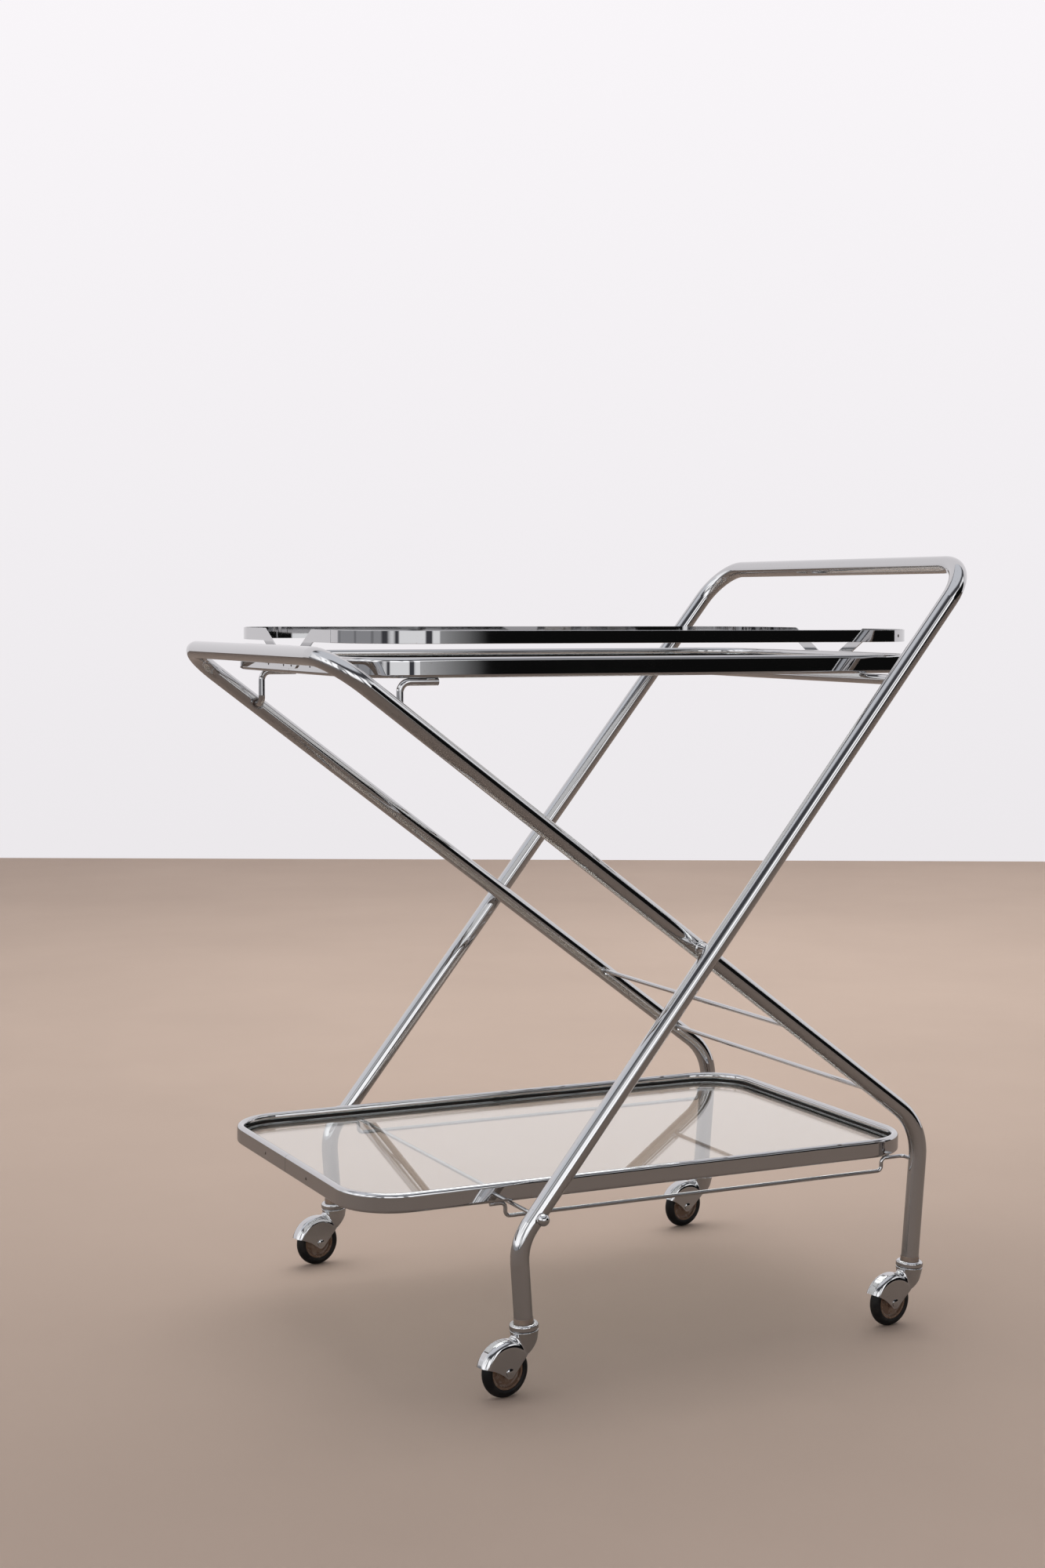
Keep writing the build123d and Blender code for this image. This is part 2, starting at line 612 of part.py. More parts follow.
def caster_pieces():
    """Pieces of one caster about its stem, with the tube's end at Z = 0."""
    hub_r, bore = hub_d / 2, axle_d / 2 + turn_fit
    boss_w = fork_w / 2 - fork_sheet - rest_gap
    hub = make_face(Polyline(
        (bore, -boss_w), (hub_boss_d / 2, -boss_w), (hub_boss_d / 2, -hub_web_t / 2),
        (hub_r - hub_rim_t, -hub_web_t / 2), (hub_r - hub_rim_t, -hub_rim_w / 2), (hub_r, -hub_rim_w / 2),
        (hub_r, hub_rim_w / 2), (hub_r - hub_rim_t, hub_rim_w / 2), (hub_r - hub_rim_t, hub_web_t / 2),
        (hub_boss_d / 2, hub_web_t / 2), (hub_boss_d / 2, boss_w), (bore, boss_w), close=True))
    seat, crown = hub_r + seat_fit, wheel_d / 2 - tyre_w / 2
    tyre = make_face([
        Polyline((crown, -tyre_w / 2), (seat, -tyre_side / 2), (seat, tyre_side / 2), (crown, tyre_w / 2)),
        ThreePointArc((crown, tyre_w / 2), (wheel_d / 2, 0), (crown, -tyre_w / 2)),
    ])
    pin_l, head_r = fork_w / 2 + seat_fit, axle_head_d / 2
    edge_l, end_l = pin_l + axle_head_edge, pin_l + axle_head_t
    mid_r, mid_h = dome_middle(head_r, end_l - edge_l)
    axle = make_face([
        ThreePointArc((0, -end_l), (mid_r, -edge_l - mid_h), (head_r, -edge_l)),
        Polyline((head_r, -edge_l), (head_r, -pin_l), (axle_d / 2, -pin_l), (axle_d / 2, pin_l),
                 (head_r, pin_l), (head_r, edge_l)),
        ThreePointArc((head_r, edge_l), (mid_r, edge_l + mid_h), (0, end_l)),
        Line((0, end_l), (0, -end_l)),
    ])
    at_axle = Pos(-trail, 0, -axle_drop)
    stem_r, under = stem_d / 2, -drum_top - fork_sheet - seat_fit
    collar_top, collar_r = -sleeve_rim - rest_gap, collar_d / 2
    collar_foot = -drum_top + seat_fit
    ring_low, well_r = collar_foot + collar_neck, sleeve_d / 2 + collar_room
    ring_top = ring_low + collar_rim
    collar = make_face(Polyline(
        (stem_r + seat_fit, collar_foot), (collar_neck_d / 2, collar_foot), (collar_neck_d / 2, ring_low),
        (collar_r, ring_low), (collar_r, ring_top), (well_r, ring_top), (well_r, collar_top),
        (stem_r + seat_fit, collar_top), close=True))
    for corner, r in (
        ((collar_r, ring_top), collar_crown_r),
        ((collar_r, ring_low), collar_edge_r),
        ((well_r, ring_top), collar_edge_r / 2),
    ):
        collar = fillet(collar.vertices().sort_by_distance(corner)[0], r)
    return {
        "sleeve": stem_turn([
            (stem_r + turn_fit, -sleeve_rim), (sleeve_d / 2, -sleeve_rim), (sleeve_d / 2, -seat_fit),
            (bore_r - seat_fit, -seat_fit), (bore_r - seat_fit, sleeve_l), (stem_r + turn_fit, sleeve_l)]),
        "stem": stem_turn([
            (0, under - stem_head_t), (stem_head_d / 2, under - stem_head_t), (stem_head_d / 2, under),
            (stem_r, under), (stem_r, stem_up), (0, stem_up)]),
        "collar": revolve(Plane.XZ * collar, Axis.Z),
        "fork": caster_fork(),
        "axle": at_axle * wheel_turn(axle),
        "hub": at_axle * wheel_turn(hub),
        "tyre": at_axle * wheel_turn(tyre),
    }


feet = {
    "handle_near": (handle_pts[0], -handle_lean),
    "handle_far": (handle_pts[-1], -handle_lean),
    "crossbar_near": (crossbar_pts[0], crossbar_lean),
    "crossbar_far": (crossbar_pts[-1], crossbar_lean),
}

nodes = {
    "handle_frame": handle_frame,
    "crossbar_frame": crossbar_frame,
    "pivot_pins": pivot_pins,
    "pivot_spacers": pivot_spacers,
    "stay_rod_upper": stay_rods[0],
    "stay_rod_lower": stay_rods[1],
    "slide_rod": slide_rod,
    "slide_rod_balls": slide_rod_balls,
    "shelf_bar": shelf_bar,
    "lower_rim": lower_rim,
    "lower_glass": lower_glass,
    "lower_joint": lower_joint,
    "lower_rivets": lower_rivets,
    "slide_rail_near": slide_rails[0],
    "slide_rail_far": slide_rails[1],
    "upper_rim": upper_rim,
    "upper_glass": upper_glass,
    "upper_joint": upper_joint,
    "upper_rivets": upper_rivets,
    "shelf_peg_near": shelf_pegs[0],
    "shelf_peg_far": shelf_pegs[1],
    "gallery_near": gallery_near,
    "gallery_far": gallery_far,
    "gallery_tabs": gallery_tabs,
    "gallery_rivets": gallery_rivets,
}
caster = caster_pieces()
for foot_name, (foot_p, lean) in feet.items():
    place = Pos(*foot_p) * Rot(0, lean, 0) * Rot(0, 0, swivel)
    for piece, solid in caster.items():
        nodes[f"{piece}_{foot_name}"] = place * solid

os.makedirs("parts", exist_ok=True)
for name, shape in nodes.items():
    whole = Compound(children=list(shape)) if isinstance(shape, list) else shape
    export_step(whole, f"parts/{name}.step")
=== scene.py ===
import json
import math

import bmesh
import bpy
from bpy.props import FloatProperty, FloatVectorProperty, PointerProperty
from mathutils import Matrix, Vector


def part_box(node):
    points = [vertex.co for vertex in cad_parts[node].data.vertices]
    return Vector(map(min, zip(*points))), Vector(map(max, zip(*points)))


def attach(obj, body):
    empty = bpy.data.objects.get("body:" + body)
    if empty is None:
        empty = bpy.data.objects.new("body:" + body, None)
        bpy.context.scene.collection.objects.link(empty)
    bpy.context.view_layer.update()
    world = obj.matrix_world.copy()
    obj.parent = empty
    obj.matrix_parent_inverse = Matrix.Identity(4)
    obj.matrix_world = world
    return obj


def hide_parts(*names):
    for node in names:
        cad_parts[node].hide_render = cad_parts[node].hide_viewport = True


bl_info = {
    "name": "Folding Bar Cart",
    "version": (1, 0, 0),
    "blender": (4, 5, 0),
    "location": "View3D > Sidebar > Bar Cart",
    "description": "Dresses the folding bar cart with its finishes and sets its stage",
    "category": "Object",
}

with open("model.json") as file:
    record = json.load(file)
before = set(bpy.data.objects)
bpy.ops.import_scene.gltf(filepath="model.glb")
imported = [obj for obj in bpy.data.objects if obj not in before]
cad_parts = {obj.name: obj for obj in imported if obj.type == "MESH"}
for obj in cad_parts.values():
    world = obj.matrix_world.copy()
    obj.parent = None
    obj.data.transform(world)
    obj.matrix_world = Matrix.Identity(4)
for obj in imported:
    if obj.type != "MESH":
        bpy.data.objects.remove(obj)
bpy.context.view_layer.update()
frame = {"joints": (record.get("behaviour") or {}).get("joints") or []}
CORNERS = ("handle_near", "handle_far", "crossbar_near", "crossbar_far")
SIDES = ((-1, "near"), (1, "far"))

MERGE_DIST = 1e-6                  # vertices closer than this are one
SHARP_ANGLE = math.radians(40)     # edges past this are shaded sharp
FLAT_ANGLE = math.radians(0.5)     # faces within this are one face of the gallery rail
EDGE_ANGLE = math.radians(60)      # edges past this are rounded on the gallery rail
STRIP_ROOM = 0.00005               # between a dark strip of painted shade and the glass or the bead
STAIN_SIDE = (0.2125, 0.2143)      # from the cart's middle, where rust ends inside the crossbar legs
STAIN_RADIUS = (0.0085, 0.0055)    # from a hole's axis, to clean plating and to full rust
STAIN_RAGGED = 0.004               # unevenness of the rust's outline


def colour(name, description, default):
    """Colour setting in linear light."""
    return FloatVectorProperty(
        name=name, description=description, default=default, subtype="COLOR", size=3, min=0.0, max=1.0
    )


def share(name, description, default):
    """Setting between nought and one."""
    return FloatProperty(
        name=name, description=description, default=default, min=0.0, max=1.0, subtype="FACTOR"
    )


def length(name, description, default):
    """Length in metres."""
    return FloatProperty(
        name=name, description=description, default=default, min=0.0, unit="LENGTH", precision=4
    )


class CartFinishes(bpy.types.PropertyGroup):
    """Colours and wear of the cart's materials."""

    chrome: colour("Chrome", "Bright plating of tubes, rims and forks", (0.56, 0.56, 0.565))
    chrome_rough: share("Chrome roughness", "Haze of the plating", 0.02)
    speck: colour("Chrome specks", "Dull specks in the plating", (0.34, 0.29, 0.24))
    steel: colour("Steel", "Plain plated pins, stems, joint strips and tabs", (0.56, 0.55, 0.54))
    steel_worn: colour("Worn steel", "Worn patches of the plain plating", (0.40, 0.37, 0.34))
    glass: colour("Glass", "Tint of the shelves", (0.95, 0.985, 0.97))
    rubber: colour("Rubber", "Tyres", (0.0045, 0.0045, 0.005))
    hub: colour("Hub", "Moulded wheel centres", (0.135, 0.083, 0.056))
    # sleeve colour: beige plastic, darkened to brown by painted shade
    sleeve: colour("Sleeve", "Plastic sockets of the stems", (0.21, 0.16, 0.13))
    sleeve_stain: colour("Sleeve stain", "Yellowed patches of the sockets", (0.34, 0.24, 0.16))
    rivet: colour("Rivets", "Aged rivets of the rims and the gallery rail", (0.11, 0.095, 0.085))
    # dark strip colour: painted shade in the rim's channel under the bead
    strip: colour("Painted shade strip", "Dark strip between the glass and the rim", (0.014, 0.011, 0.009))
    rust: colour("Rust", "Stain round the holes of the hinges", (0.085, 0.045, 0.028))
    dust: colour("Dust", "Floor dust on the wheels", (0.42, 0.35, 0.28))


class CartSizes(bpy.types.PropertyGroup):
    """Sizes of the hubs, the welds, the gallery rail's edges and the dark strips of painted shade under
    the beads.
    """

    hub_r: length("Hub radius", "From the axle to the tyre", 0.01725)
    hub_bore: length("Hub bore", "Radius of the bore", 0.00305)
    hub_boss_r: length("Boss radius", "Boss round the axle", 0.0055)
    hub_boss_w: length("Boss width", "From the middle of the wheel to the end of the boss", 0.0077)
    hub_web_w: length("Disc width", "From the middle of the wheel to the side of the disc", 0.0018)
    hub_rim_t: length("Rim thickness", "Rim under the tyre", 0.0024)
    hub_rim_w: length("Rim width", "From the middle of the wheel to the side of the rim", 0.005)
    hub_dish: length("Dish", "Rounding between the disc and the rim", 0.0028)
    hub_edge: length("Hub edge", "Rounding of the hub's edges", 0.0005)
    weld_l: length("Weld length", "Bead beside a wire", 0.010)
    weld_r: length("Weld radius", "Bead beside a wire", 0.0012)
    band_edge: length("Band edge", "Rounding of the gallery rail's edges", 0.0004)
    strip_in: length("Strip inset", "From the outside of a rim to its glazing strip", 0.0031)
    strip_w: length("Strip width", "Painted shade strip on the glass", 0.0016)
    strip_r: length("Strip corner", "Corner of the glazing strip", 0.0539)
    glass_top: length("Glass height", "Top of the glass above the rim's underside", 0.0082)
    bead_low: length("Bead height", "Underside of the rim's bead above the rim's underside", 0.011)
    rail_r: length("Rail radius", "Wire of the slide rails", 0.002)
    peg_r: length("Peg radius", "Wire of the hinge pegs", 0.0035)


class CartStage(bpy.types.PropertyGroup):
    """Floor, wall and camera."""

    floor: colour("Floor", "Plain pale floor", (0.427, 0.327, 0.262))
    wall: colour("Wall", "Plain pale wall and backdrop", (0.89, 0.865, 0.89))
    wall_way: length("Wall distance", "From the cart's middle to the wall, along the view", 4.35)
    lens: FloatProperty(
        name="Lens", description="Focal length", default=54.0, unit="CAMERA", min=1.0
    )


class Tap:
    """Output socket of a finish that takes part in shader maths."""

    def __init__(self, finish, socket):
        self.finish = finish
        self.socket = socket

    def maths(self, operation, *values):
        return self.finish.add("ShaderNodeMath", {"operation": operation}, dict(enumerate(values)))

    def __add__(self, other):
        return self.maths("ADD", self, other)

    __radd__ = __add__

    def __sub__(self, other):
        return self.maths("SUBTRACT", self, other)

    def __rsub__(self, other):
        return self.maths("SUBTRACT", other, self)

    def __mul__(self, other):
        return self.maths("MULTIPLY", self, other)

    __rmul__ = __mul__

    def __abs__(self):
        return self.maths("ABSOLUTE", self)


class Finish:
    """Node tree that is filled in by add."""

    def __init__(self, tree):
        self.tree = tree
        tree.nodes.clear()

    def add(self, kind, settings=None, inputs=None, out=0):
        """Node of a kind: its settings are set first, then its sockets' values and links."""
        node = self.tree.nodes.new(kind)
        for key, value in (settings or {}).items():
            setattr(node, key, value)
        for key, value in (inputs or {}).items():
            socket = node.inputs[key]
            if isinstance(value, Tap):
                self.tree.links.new(value.socket, socket)
            elif socket.type == "RGBA":
                socket.default_value = (*value, 1.0)
            else:
                socket.default_value = value
        return Tap(self, node.outputs[out]) if len(node.outputs) else None

    def place(self):
        """Object coordinates."""
        return self.add("ShaderNodeTexCoord", out="Object")

    def part(self, vector, axis):
        """X, Y or Z of a vector."""
        return self.add("ShaderNodeSeparateXYZ", None, {0: vector}, out=axis)

    def vector(self, operation, first, second, out=0):
        """Vector maths on two vectors."""
        return self.add("ShaderNodeVectorMath", {"operation": operation}, {0: first, 1: second}, out)

    def ray(self, kind):
        """One for light paths of a kind, nought for the others."""
        return self.add("ShaderNodeLightPath", out=kind)

    def noise(self, scale, detail=2.0, rough=0.5, warp=0.0):
        """Noise value at a scale in patches per metre."""
        inputs = {"Scale": scale, "Detail": detail, "Roughness": rough, "Distortion": warp}
        inputs["Vector"] = self.place()
        return self.add("ShaderNodeTexNoise", {"noise_dimensions": "3D"}, inputs, out="Fac")

    def band(self, value, low, high):
        """Value mapped from a range to nought and one, clamped."""
        return self.add(
            "ShaderNodeMapRange", {"clamp": True}, {0: value, 1: low, 2: high, 3: 0.0, 4: 1.0}
        )

    def blend(self, share_of, first, second):
        """Colour between two colours."""
        return self.add(
            "ShaderNodeMix", {"data_type": "RGBA"}, {"Factor": share_of, 6: first, 7: second}, out=2
        )

    def bump(self, height, strength, depth):
        """Normal of a surface that a height raises."""
        inputs = {"Strength": strength, "Distance": depth, "Height": height}
        return self.add("ShaderNodeBump", None, inputs, out="Normal")

    def surface(self, shader):
        """Material output."""
        self.add("ShaderNodeOutputMaterial", None, {"Surface": shader})

    def principled(self, **sockets):
        """Principled shader, whose sockets' names are written with underscores."""
        inputs = {name.replace("_", " "): value for name, value in sockets.items()}
        return self.add("ShaderNodeBsdfPrincipled", None, inputs, out="BSDF")


def material(name, fill, settings=None):
    """Material whose nodes are made by a function, from the cart's finishes or other settings."""
    if settings is None:
        settings = bpy.context.scene.cart_finishes
    made = bpy.data.materials.new(name)
    made.use_nodes = True
    finish = Finish(made.node_tree)
    finish.surface(fill(finish, settings))
    return made


def rust_stain(finish, holes):
    """Share of rust round the axes of holes, on the inner sides of the crossbar legs."""
    across = finish.vector("MULTIPLY", finish.place(), (1.0, 0.0, 1.0))
    ragged = finish.noise(420.0, detail=3.0, rough=0.6) * STAIN_RAGGED
    ways = [finish.vector("DISTANCE", across, hole, out="Value") + ragged for hole in holes]
    inside = 1 - finish.band(abs(finish.part(finish.place(), "Y")), *STAIN_SIDE)
    return inside * sum(finish.band(way, *STAIN_RADIUS) for way in ways)


def chrome(finish, look, holes=()):
    """Bright plating with fine haze, soft smears, a few dull specks and rust at drilled holes."""
    smear = finish.band(finish.noise(9.0, detail=3.0, rough=0.6, warp=0.4), 0.42, 0.72)
    speck = finish.band(finish.noise(520.0, detail=2.0, rough=0.6), 0.66, 0.74)
    patch = finish.band(finish.noise(24.0, detail=2.0, rough=0.5), 0.5, 0.66)
    ripple = finish.bump(finish.noise(38.0, detail=1.0, rough=0.4), strength=0.05, depth=0.0001)
    tone = finish.blend(speck * patch * 0.55, look.chrome, look.speck)
    rough = look.chrome_rough + smear * 0.03
    metallic = 1.0
    if holes:
        stain = rust_stain(finish, holes)
        tone = finish.blend(stain, tone, look.rust)
        rough = rough + stain * 0.45
        metallic = 1 - stain * 0.8
    return finish.principled(Base_Color=tone, Metallic=metallic, Roughness=rough, Normal=ripple)


def stained_chrome(finish, look):
    """Chrome with rust at the axes of the shelves' hinges."""
    hinges = [joint["pos_m"] for joint in frame["joints"] if joint["name"].endswith("shelf_hinge")]
    return chrome(finish, look, hinges)


def aged_rivet(finish, look):
    """Rivet heads that have lost their shine."""
    grain = finish.noise(700.0, detail=3.0, rough=0.6)
    tone = finish.blend(finish.band(grain, 0.4, 0.7), look.rivet, look.rust)
    return finish.principled(Base_Color=tone, Metallic=0.85, Roughness=0.32 + grain * 0.25)


def steel(finish, look):
    """Plain plated steel, duller than the chrome."""
    grain = finish.noise(180.0, detail=3.0, rough=0.6)
    tone = finish.blend(finish.band(grain, 0.35, 0.75), look.steel, look.steel_worn)
    return finish.principled(Base_Color=tone, Metallic=1.0, Roughness=0.22 + grain * 0.16)


def glass(finish, look):
    """Clear float glass with a faint film of dust."""
    film = finish.band(finish.noise(14.0, detail=3.0, rough=0.6), 0.4, 0.8)
    return finish.principled(
        Base_Color=look.glass, Roughness=0.004 + film * 0.02, IOR=1.5, Transmission_Weight=1.0
    )


def rubber(finish, look):
    """Semi-matt black rubber with floor dust."""
    dust = finish.band(finish.noise(70.0, detail=4.0, rough=0.65), 0.48, 0.8)
    grain = finish.bump(finish.noise(900.0, detail=2.0, rough=0.6), strength=0.12, depth=0.0004)
    tone = finish.blend(dust * 0.05, look.rubber, look.dust)
    return finish.principled(
        Base_Color=tone, Roughness=0.45 + dust * 0.25, Specular_IOR_Level=0.25, Normal=grain
    )
# Dark strips between the glass and the rolled beads, which paint the shade in the rims' channels


def shade_and_rust(finish, look):
    """Dull dark strip, painted shade of the rim's channel under the bead, with some rust off the rim."""
    spot = finish.band(finish.noise(60.0, detail=3.0, rough=0.6), 0.55, 0.8)
    tone = finish.blend(spot * 0.4, look.strip, look.rust)
    return finish.principled(Base_Color=tone, Roughness=0.55 + spot * 0.2, Specular_IOR_Level=0.3)


def hub_plastic(finish, look):
    """Brown moulded plastic, scuffed and dusty."""
    scuff = finish.band(finish.noise(110.0, detail=4.0, rough=0.6), 0.45, 0.75)
    tone = finish.blend(scuff * 0.22, look.hub, look.dust)
    dents = finish.bump(scuff, strength=0.06, depth=0.0004)
    return finish.principled(Base_Color=tone, Roughness=0.22 + scuff * 0.22, Normal=dents)


def sleeve_plastic_and_shade(finish, look):
    """Aged beige plastic, its colour darkened to brown by painted shade, with yellowed patches."""
    stain = finish.band(finish.noise(130.0, detail=3.0, rough=0.6), 0.4, 0.75)
    tone = finish.blend(stain * 0.5, look.sleeve, look.sleeve_stain)
    return finish.principled(Base_Color=tone, Roughness=0.45 + stain * 0.15)


def scaled(shade, by):
    """Colour made darker or lighter."""
    return [by * part for part in shade]


def floor_paint(finish, stage):
    """Plain pale floor with a faint mottle, shown to metal at half its brightness."""
    mottle = finish.noise(1.6, detail=4.0, rough=0.55)
    shade = finish.blend(finish.band(mottle, 0.3, 0.7), stage.floor, scaled(stage.floor, 0.93))
    in_metal = finish.ray("Is Glossy Ray") * (1 - finish.ray("Is Transmission Ray"))
    shade = finish.blend(in_metal, shade, scaled(stage.floor, 0.5))
    return finish.principled(Base_Color=shade, Roughness=0.75 + mottle * 0.1)


def wall_paint(finish, stage):
    """Plain pale wall, whose own colour shows to the camera, in metal and through glass, with painted
    shade that darkens its glow towards the floor.
    """
    # painted shade: the glow is darker near the floor and lighter higher up
    painted_shade_rise = finish.band(finish.part(finish.place(), "Z"), 0.0, 2.4)
    shade = finish.blend(painted_shade_rise, scaled(stage.wall, 0.94), scaled(stage.wall, 1.06))
    seen = sum(finish.ray(kind) for kind in ("Is Camera Ray", "Is Glossy Ray", "Is Transmission Ray"))
    paint = finish.principled(Base_Color=stage.wall, Roughness=0.9)
    glow = finish.add("ShaderNodeEmission", None, {"Color": shade, "Strength": 1.0})
    return finish.add("ShaderNodeMixShader", None, {0: seen, 1: paint, 2: glow})


class Room:
    """Parts of the room, by direction from the cart: X to the right, Y away from the camera, Z up.
    One part fades into the next over a range. A colour over one is brighter than white."""

    right_edge = (0.37, 0.42)       # X, from the left to the right
    near_edge = (-0.25, -0.1)       # Y, from the near part of the right to its far part
    near_lift = 0.34                # by which the panel starts higher on the near right
    behind_edge = (-0.75, -0.5)     # Y, from behind the camera to the sides
    behind_drop = 0.14              # by which the panel ends lower behind the camera
    panel_foot = (0.06, 0.12)       # Z, from the skirting to the panel
    panel_head = (0.56, 0.68)       # Z, from the panel to the ceiling
    panel_turn = (-0.35, 0.35)      # against the view, from the panel ahead to the one behind
    panel_ahead = (1.0, 1.0, 1.03)
    panel_behind = (1.75, 1.75, 1.78)
    pillar_scale = 4.2
    pillar_edge = (0.52, 0.64)      # noise, from the open room to a pillar
    pillar_cover = 0.75             # share of the panel that a pillar hides
    pillar = (0.07, 0.07, 0.08)
    skirting_left = (0.38, 0.38, 0.40)
    skirting_behind = (1.1, 1.1, 1.12)
    skirting_right = (0.006, 0.006, 0.006)
    ceiling_edge = (0.35, 0.55)     # Z, from the skirting to the ceiling, past the panel
    ceiling_left = (-0.52, -0.40)   # X, from the lit left to the dark rest
    ceiling_far = (-0.25, -0.05)    # Y, from the dark near part to the lit far part
    ceiling_top = (0.76, 0.86)      # Z, from the dark part to the lit part overhead
    ceiling_dark = (0.08, 0.08, 0.09)
    ceiling_lit = (0.84, 0.86, 0.92)


def room_light(finish, stage, ahead):
    """Bright panels over a dark skirting, which light the cart and show in metal. The camera, also
    through glass, sees a plain backdrop instead."""
    way = finish.add("ShaderNodeTexCoord", out="Generated")
    side, away, height = [finish.part(way, axis) for axis in "XYZ"]
    level = finish.vector("MULTIPLY", way, (1.0, 1.0, 0.0))
    uneven = {"Vector": level, "Scale": Room.pillar_scale, "Detail": 0.0}
    pillar = finish.band(finish.add("ShaderNodeTexNoise", None, uneven, out="Fac"), *Room.pillar_edge)
    right = finish.band(side, *Room.right_edge)
    behind = 1 - finish.band(away, *Room.behind_edge)

    foot = height - right * (1 - finish.band(away, *Room.near_edge)) * Room.near_lift
    head = height + behind * Room.behind_drop
    panel = finish.band(foot, *Room.panel_foot) * (1 - finish.band(head, *Room.panel_head))
    panel = panel * (1 - Room.pillar_cover * pillar)
    turn = finish.band(finish.vector("DOT_PRODUCT", way, -ahead, out="Value"), *Room.panel_turn)
    glow = finish.blend(turn, Room.panel_ahead, Room.panel_behind)

    left = finish.blend(behind, Room.skirting_left, Room.skirting_behind)
    left = finish.blend(pillar, left, Room.pillar)
    skirting = finish.blend(right, left, Room.skirting_right)

    far_left = (1 - finish.band(side, *Room.ceiling_left)) * finish.band(away, *Room.ceiling_far)
    lit = far_left + finish.band(height, *Room.ceiling_top)
    ceiling = finish.blend(lit, Room.ceiling_dark, Room.ceiling_lit)
    dim = finish.blend(finish.band(height, *Room.ceiling_edge), skirting, ceiling)

    backdrop = finish.ray("Is Camera Ray") + finish.ray("Is Transmission Ray")
    shown = finish.blend(backdrop, finish.blend(panel, dim, glow), stage.wall)
    return finish.add("ShaderNodeBackground", None, {"Color": shown, "Strength": 1.0})


def finished(name, bm, made, body, slot, *stands_for):
    """Mesh object from a bmesh, with its material and body, in place of CAD nodes. The slot is not used.
    """
    bmesh.ops.remove_doubles(bm, verts=bm.verts, dist=MERGE_DIST)
    bmesh.ops.recalc_face_normals(bm, faces=bm.faces)
    for face in bm.faces:
        face.smooth = True
    mesh = bpy.data.meshes.new(name)
    bm.to_mesh(mesh)
    bm.free()
    mesh.set_sharp_from_angle(angle=SHARP_ANGLE)
    mesh.materials.append(made)
    piece = bpy.data.objects.new(name, mesh)
    bpy.context.scene.collection.objects.link(piece)
    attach(piece, body)
    if stands_for:
        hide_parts(*stands_for)
    return piece


def wire(bm, points, closed):
    """Vertices at points, joined by edges in their order."""
    verts = [bm.verts.new(point) for point in points]
    for pair in zip(verts, verts[1:] + verts[:1] if closed else verts[1:]):
        bm.edges.new(pair)
    return verts


def turned(bm, corners, steps, closed):
    """Solid of revolution about Y from (radius, width, rounding) corners."""
    verts = wire(bm, [(r, w, 0.0) for r, w, _ in corners], closed)
    for vert, (_, _, rounding) in zip(verts, corners):
        if rounding:
            bmesh.ops.bevel(
                bm, geom=[vert], offset=rounding, offset_type="OFFSET", segments=5, profile=0.5,
                affect="VERTICES", material=-1,
            )
    outline = [edge for edge in bm.edges if not edge.link_faces]
    points = {vert for edge in outline for vert in edge.verts}
    bmesh.ops.spin(
        bm, geom=[*points, *outline], cent=(0, 0, 0), axis=(0, 1, 0), angle=math.tau, steps=steps,
        use_merge=True,
    )


def dress(made, *nodes):
    """Gives CAD nodes a material."""
    for node in nodes:
        mesh = bpy.data.objects[node].data
        mesh.materials.clear()
        mesh.materials.append(made)


def corner_nodes(*pieces):
    """Names of the CAD nodes that each caster has."""
    return [f"{piece}_{corner}" for piece in pieces for corner in CORNERS]


class CART_OT_frames(bpy.types.Operator):
    """Tube frames, rods and pivots"""

    bl_idname = "cart.frames"
    bl_label = "Frames"

    def execute(self, context):
        dress(
            material("chrome_frames", stained_chrome), "handle_frame", "crossbar_frame",
            "stay_rod_upper", "stay_rod_lower", "slide_rod", "slide_rod_balls", "shelf_bar",
        )
        dress(material("chrome_pivots", chrome), "pivot_spacers")
        dress(material("steel_pivots", steel), "pivot_pins")
        return {"FINISHED"}


class CART_OT_shelves(bpy.types.Operator):
    """Rims, glass, rails and pegs of both shelves"""

    bl_idname = "cart.shelves"
    bl_label = "Shelves"

    def execute(self, context):
        dress(
            material("chrome_shelves", chrome), "lower_rim", "upper_rim", "slide_rail_near",
            "slide_rail_far", "shelf_peg_near", "shelf_peg_far",
        )
        dress(material("steel_shelves", steel), "lower_joint", "upper_joint")
        dress(material("rivets_shelves", aged_rivet), "lower_rivets", "upper_rivets")
        dress(material("glass_shelves", glass), "lower_glass", "upper_glass")
        return {"FINISHED"}


